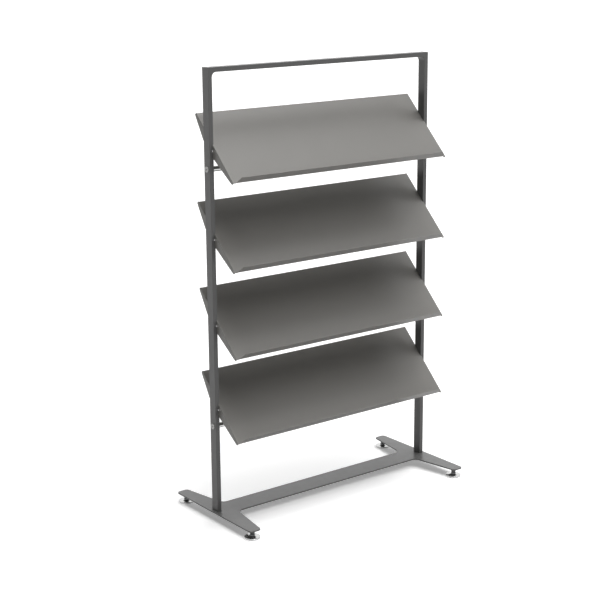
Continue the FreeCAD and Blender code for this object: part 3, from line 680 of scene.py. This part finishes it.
def stem_part(centre):
    """A levelling stem as one surface, rows of (height, radius at each angle) from its foot to its top: the
    spigot, the hexagon, whose corners a cone of 30 degrees trims above and below (the smaller of the
    hexagon's radius and the cone's), and the right-hand thread. With p the share of a turn by which the
    height is ahead of the angle, the thread's radius runs from the crest, where p is near a half, down
    straight flanks to the root, where p is near 0 or 1, and both ends taper to the root."""
    angle = np.arange(ROUND_STEPS) * 2 * np.pi / ROUND_STEPS
    even = np.ones(ROUND_STEPS)
    collar = DOME_HEIGHT + RUN_CLEAR
    foot = DOME_HEIGHT - SPIGOT_DEPTH
    turn = np.linspace(0, np.pi / 2, ARC_STEPS)
    corner = SPIGOT_RADIUS - EDGE_ROUNDING * (1 - np.cos(turn))[::-1]
    lift = EDGE_ROUNDING * (1 - np.sin(turn))[::-1]
    spigot_height = np.concatenate([[foot], foot + lift, [collar]])
    spigot_radius = np.concatenate([[0], corner, [SPIGOT_RADIUS]])

    low, high = collar, collar + FOOT_HEX_HEIGHT
    hex_height = np.concatenate([np.linspace(low, low + HEX_TRIM, HEX_ROWS),
                                 np.linspace(high - HEX_TRIM, high, HEX_ROWS)])
    cone = FOOT_KEY * HEX_FACE + np.minimum(hex_height - low, high - hex_height) * math.sqrt(3)
    hexagon = np.minimum(FOOT_KEY / np.cos(angle_to_flat(angle))[None, :], cone[:, None])

    rows = int((STEM_TOP - high) / STEM_PITCH * THREAD_ROWS)
    height = np.linspace(high, STEM_TOP, rows)
    ahead = (height[:, None] / STEM_PITCH - angle / (2 * np.pi)) % 1
    rise = np.clip((1 - THREAD_ROOT - np.abs(2 * ahead - 1)) / (1 - THREAD_ROOT - THREAD_CREST), 0, 1)
    taper = np.clip(np.minimum(height - high, STEM_TOP - height) / THREAD_DEPTH, 0, 1)
    thread = STEM_RADIUS - THREAD_DEPTH * (1 - rise * taper[:, None])

    heights = np.concatenate([spigot_height, hex_height, height, [STEM_TOP]])
    radius = np.concatenate([spigot_radius[:, None] * even, hexagon, thread, 0 * even[None, :]])
    return grid_part(on_axis(heights[:, None] * even, radius, angle, centre, "Z"), closed=True)


def make_foot(corner, x, y):
    """The disc, the glide and the boss, turned about the Z axis from their sections, and the stem."""
    centre = (x, y, 0)
    bore = SPIGOT_RADIUS + RUN_CLEAR
    floor = DOME_HEIGHT - SPIGOT_DEPTH - RUN_CLEAR
    recess = GLIDE_RADIUS + RUN_CLEAR / 2
    dome = turned_part([(GLIDE_THICK, 0), (GLIDE_THICK, recess), (DOME_RIM, recess), (DOME_RIM, DOME_RADIUS),
                        (DOME_EDGE, DOME_RADIUS), (DOME_BRIM, DOME_HUB), (DOME_HEIGHT, DOME_NECK),
                        (DOME_HEIGHT, bore), (floor, bore), (floor, 0)],
                       centre, "Z",
                       [0, 0, EDGE_ROUNDING, DOME_RIM_ROUNDING, DOME_SHOULDER, HUB_BLEND, NECK_ROUNDING,
                        EDGE_ROUNDING, 0, 0])
    pad = f"foot_pad_{corner}"
    even_normals(make_piece(f"foot_{corner}_chrome_dome", [dome], CHROME, pad, "bright_chrome",
                            f"foot_dome_{corner}"))
    glide = turned_part([(0, 0), (0, GLIDE_RADIUS), (GLIDE_THICK, GLIDE_RADIUS), (GLIDE_THICK, 0)],
                        centre, "Z", [0, GLIDE_ROUNDING, EDGE_ROUNDING, 0])
    even_normals(make_piece(f"foot_{corner}_plastic_glide", [glide], GLIDE_PLASTIC, pad, "glide_plastic",
                            f"foot_glide_{corner}"))
    make_piece(f"foot_{corner}_threaded_stem", [stem_part(centre)], ZINC, f"foot_stem_{corner}", "zinc_steel",
               f"foot_stem_{corner}")
    low = PLATE_UNDER - BOSS_HEIGHT
    bore = STEM_RADIUS + RUN_CLEAR
    boss = turned_part([(low, bore), (low, BOSS_RADIUS), (PLATE_UNDER, BOSS_RADIUS), (PLATE_UNDER, bore),
                        (low, bore)], centre, "Z", [0, BOSS_ROUNDING, 0, 0, 0])
    even_normals(make_piece(f"foot_{corner}_welded_boss", [boss], FRAME_PAINT, "frame", "frame_paint",
                            f"foot_boss_{corner}"))


# ---- the rack ----

make_frame_bars()
make_base_plate()
for side in ("upper", "lower"):
    make_tie(side)
for shelf, pivot in PIVOTS.items():
    make_shelf(shelf, pivot)
for end, y in (("front", -1), ("back", 1)):
    for hand, x in (("left", -1), ("right", 1)):
        make_foot(f"{end}_{hand}", x * (PLATE_HIGH.x - FOOT_INSET), y * (PLATE_HIGH.y - FOOT_INSET))
# the CAD nodes that no piece stands for are the screws under the posts and the plugs in the tubes
for node in frame["nodes"].values():
    for slot in node.material_slots:
        slot.material = ZINC


# ---- floor, light and camera ----

CAMERA_PLACE = (-3.1886, -4.0634, 2.0562)
CAMERA_YAW = math.radians(-37.002)      # from looking along +Y; less than 0 is to the right
CAMERA_PITCH = math.radians(13.990)     # down
CAMERA_ROLL = math.radians(-0.497)
CAMERA_LENS = 87.08                     # millimetres
SENSOR_WIDTH = 36
FLOOR_HALF = 60.0
FLOOR_BOUNCE = 0.60                     # the floor's colour where it lights the rack
FLOOR_GLOW = 0.29                       # added where it is seen, which lifts the shadow
LAMP_DISTANCE = 5.0
LAMPS = (
    # name, azimuth from the front towards the right, elevation, width as an angle, irradiance over pi
    ("front_lamp", 0, 55, 36, 0.365),
    ("right_lamp", 90, 70, 36, 0.415),
    ("overhead_lamp", 0, 85, 36, 0.325),
    ("back_right_lamp", 140, 22, 110, 0.27),
)


def seen_directly(tree):
    """1 for camera, glossy and transmission rays, which see the white studio, and 0 for the rays that
    light."""
    path = tree.nodes.new("ShaderNodeLightPath")
    total = path.outputs["Is Camera Ray"]
    for ray in ("Is Glossy Ray", "Is Transmission Ray"):
        add = tree.nodes.new("ShaderNodeMath")
        add.operation = "ADD"
        add.use_clamp = True
        tree.links.new(total, add.inputs[0])
        tree.links.new(path.outputs[ray], add.inputs[1])
        total = add.outputs[0]
    return total


def make_floor():
    """A wide level floor. Rays that light the object meet a pale grey, and the eye meets white with the
    shadow."""
    material = bpy.data.materials.new("studio_floor")
    material.use_nodes = True
    tree = material.node_tree
    tree.nodes.clear()
    seen = seen_directly(tree)
    diffuse = tree.nodes.new("ShaderNodeBsdfDiffuse")
    mix = tree.nodes.new("ShaderNodeMix")
    mix.data_type = "RGBA"
    mix.inputs[MIX_FIRST].default_value = (FLOOR_BOUNCE, FLOOR_BOUNCE, FLOOR_BOUNCE, 1)
    mix.inputs[MIX_SECOND].default_value = (1, 1, 1, 1)
    tree.links.new(seen, mix.inputs[0])
    tree.links.new(mix.outputs[MIX_RESULT], diffuse.inputs["Color"])
    glow = tree.nodes.new("ShaderNodeEmission")
    strength = tree.nodes.new("ShaderNodeMath")
    strength.operation = "MULTIPLY"
    strength.inputs[1].default_value = FLOOR_GLOW
    tree.links.new(seen, strength.inputs[0])
    tree.links.new(strength.outputs[0], glow.inputs["Strength"])
    add = tree.nodes.new("ShaderNodeAddShader")
    tree.links.new(diffuse.outputs[0], add.inputs[0])
    tree.links.new(glow.outputs[0], add.inputs[1])
    output = tree.nodes.new("ShaderNodeOutputMaterial")
    tree.links.new(add.outputs[0], output.inputs["Surface"])
    mesh = bpy.data.meshes.new("floor")
    corners = [(x * FLOOR_HALF, y * FLOOR_HALF, 0) for x, y in ((-1, -1), (1, -1), (1, 1), (-1, 1))]
    mesh.from_pydata(corners, [], [(0, 1, 2, 3)])
    mesh.materials.append(material)
    floor = bpy.data.objects.new("floor", mesh)
    bpy.context.scene.collection.objects.link(floor)


def make_world():
    """White where it is seen or mirrored, and dark for the light it gives, which is the lamps' work."""
    world = bpy.data.worlds.new("studio")
    world.use_nodes = True
    tree = world.node_tree
    back = tree.nodes["Background"]
    back.inputs["Color"].default_value = (1, 1, 1, 1)
    tree.links.new(seen_directly(tree), back.inputs["Strength"])
    bpy.context.scene.world = world


def make_lamps():
    """Suns of the angles and levels in LAMPS, each turned towards the rack."""
    for name, azimuth, elevation, width, level in LAMPS:
        data = bpy.data.lights.new(name, "SUN")
        data.energy = level * math.pi
        data.angle = math.radians(width)
        lamp = bpy.data.objects.new(name, data)
        across, up = math.radians(azimuth), math.radians(elevation)
        place = Vector((math.sin(across) * math.cos(up), -math.cos(across) * math.cos(up), math.sin(up)))
        lamp.location = place * LAMP_DISTANCE
        lamp.rotation_mode = "QUATERNION"
        lamp.rotation_quaternion = (-place).to_track_quat("-Z", "Y")
        bpy.context.scene.collection.objects.link(lamp)


def make_camera():
    """A camera at its place, turned by its yaw, pitch and roll in that order."""
    data = bpy.data.cameras.new("camera")
    data.lens = CAMERA_LENS
    data.sensor_width = SENSOR_WIDTH
    camera = bpy.data.objects.new("camera", data)
    turn = Matrix.Rotation(CAMERA_YAW, 4, "Z") @ Matrix.Rotation(math.pi / 2 - CAMERA_PITCH, 4, "X")
    camera.matrix_world = Matrix.Translation(CAMERA_PLACE) @ turn @ Matrix.Rotation(CAMERA_ROLL, 4, "Z")
    bpy.context.scene.collection.objects.link(camera)
    bpy.context.scene.camera = camera


make_floor()
make_world()
make_lamps()
make_camera()
bpy.context.scene.view_settings.view_transform = "Standard"
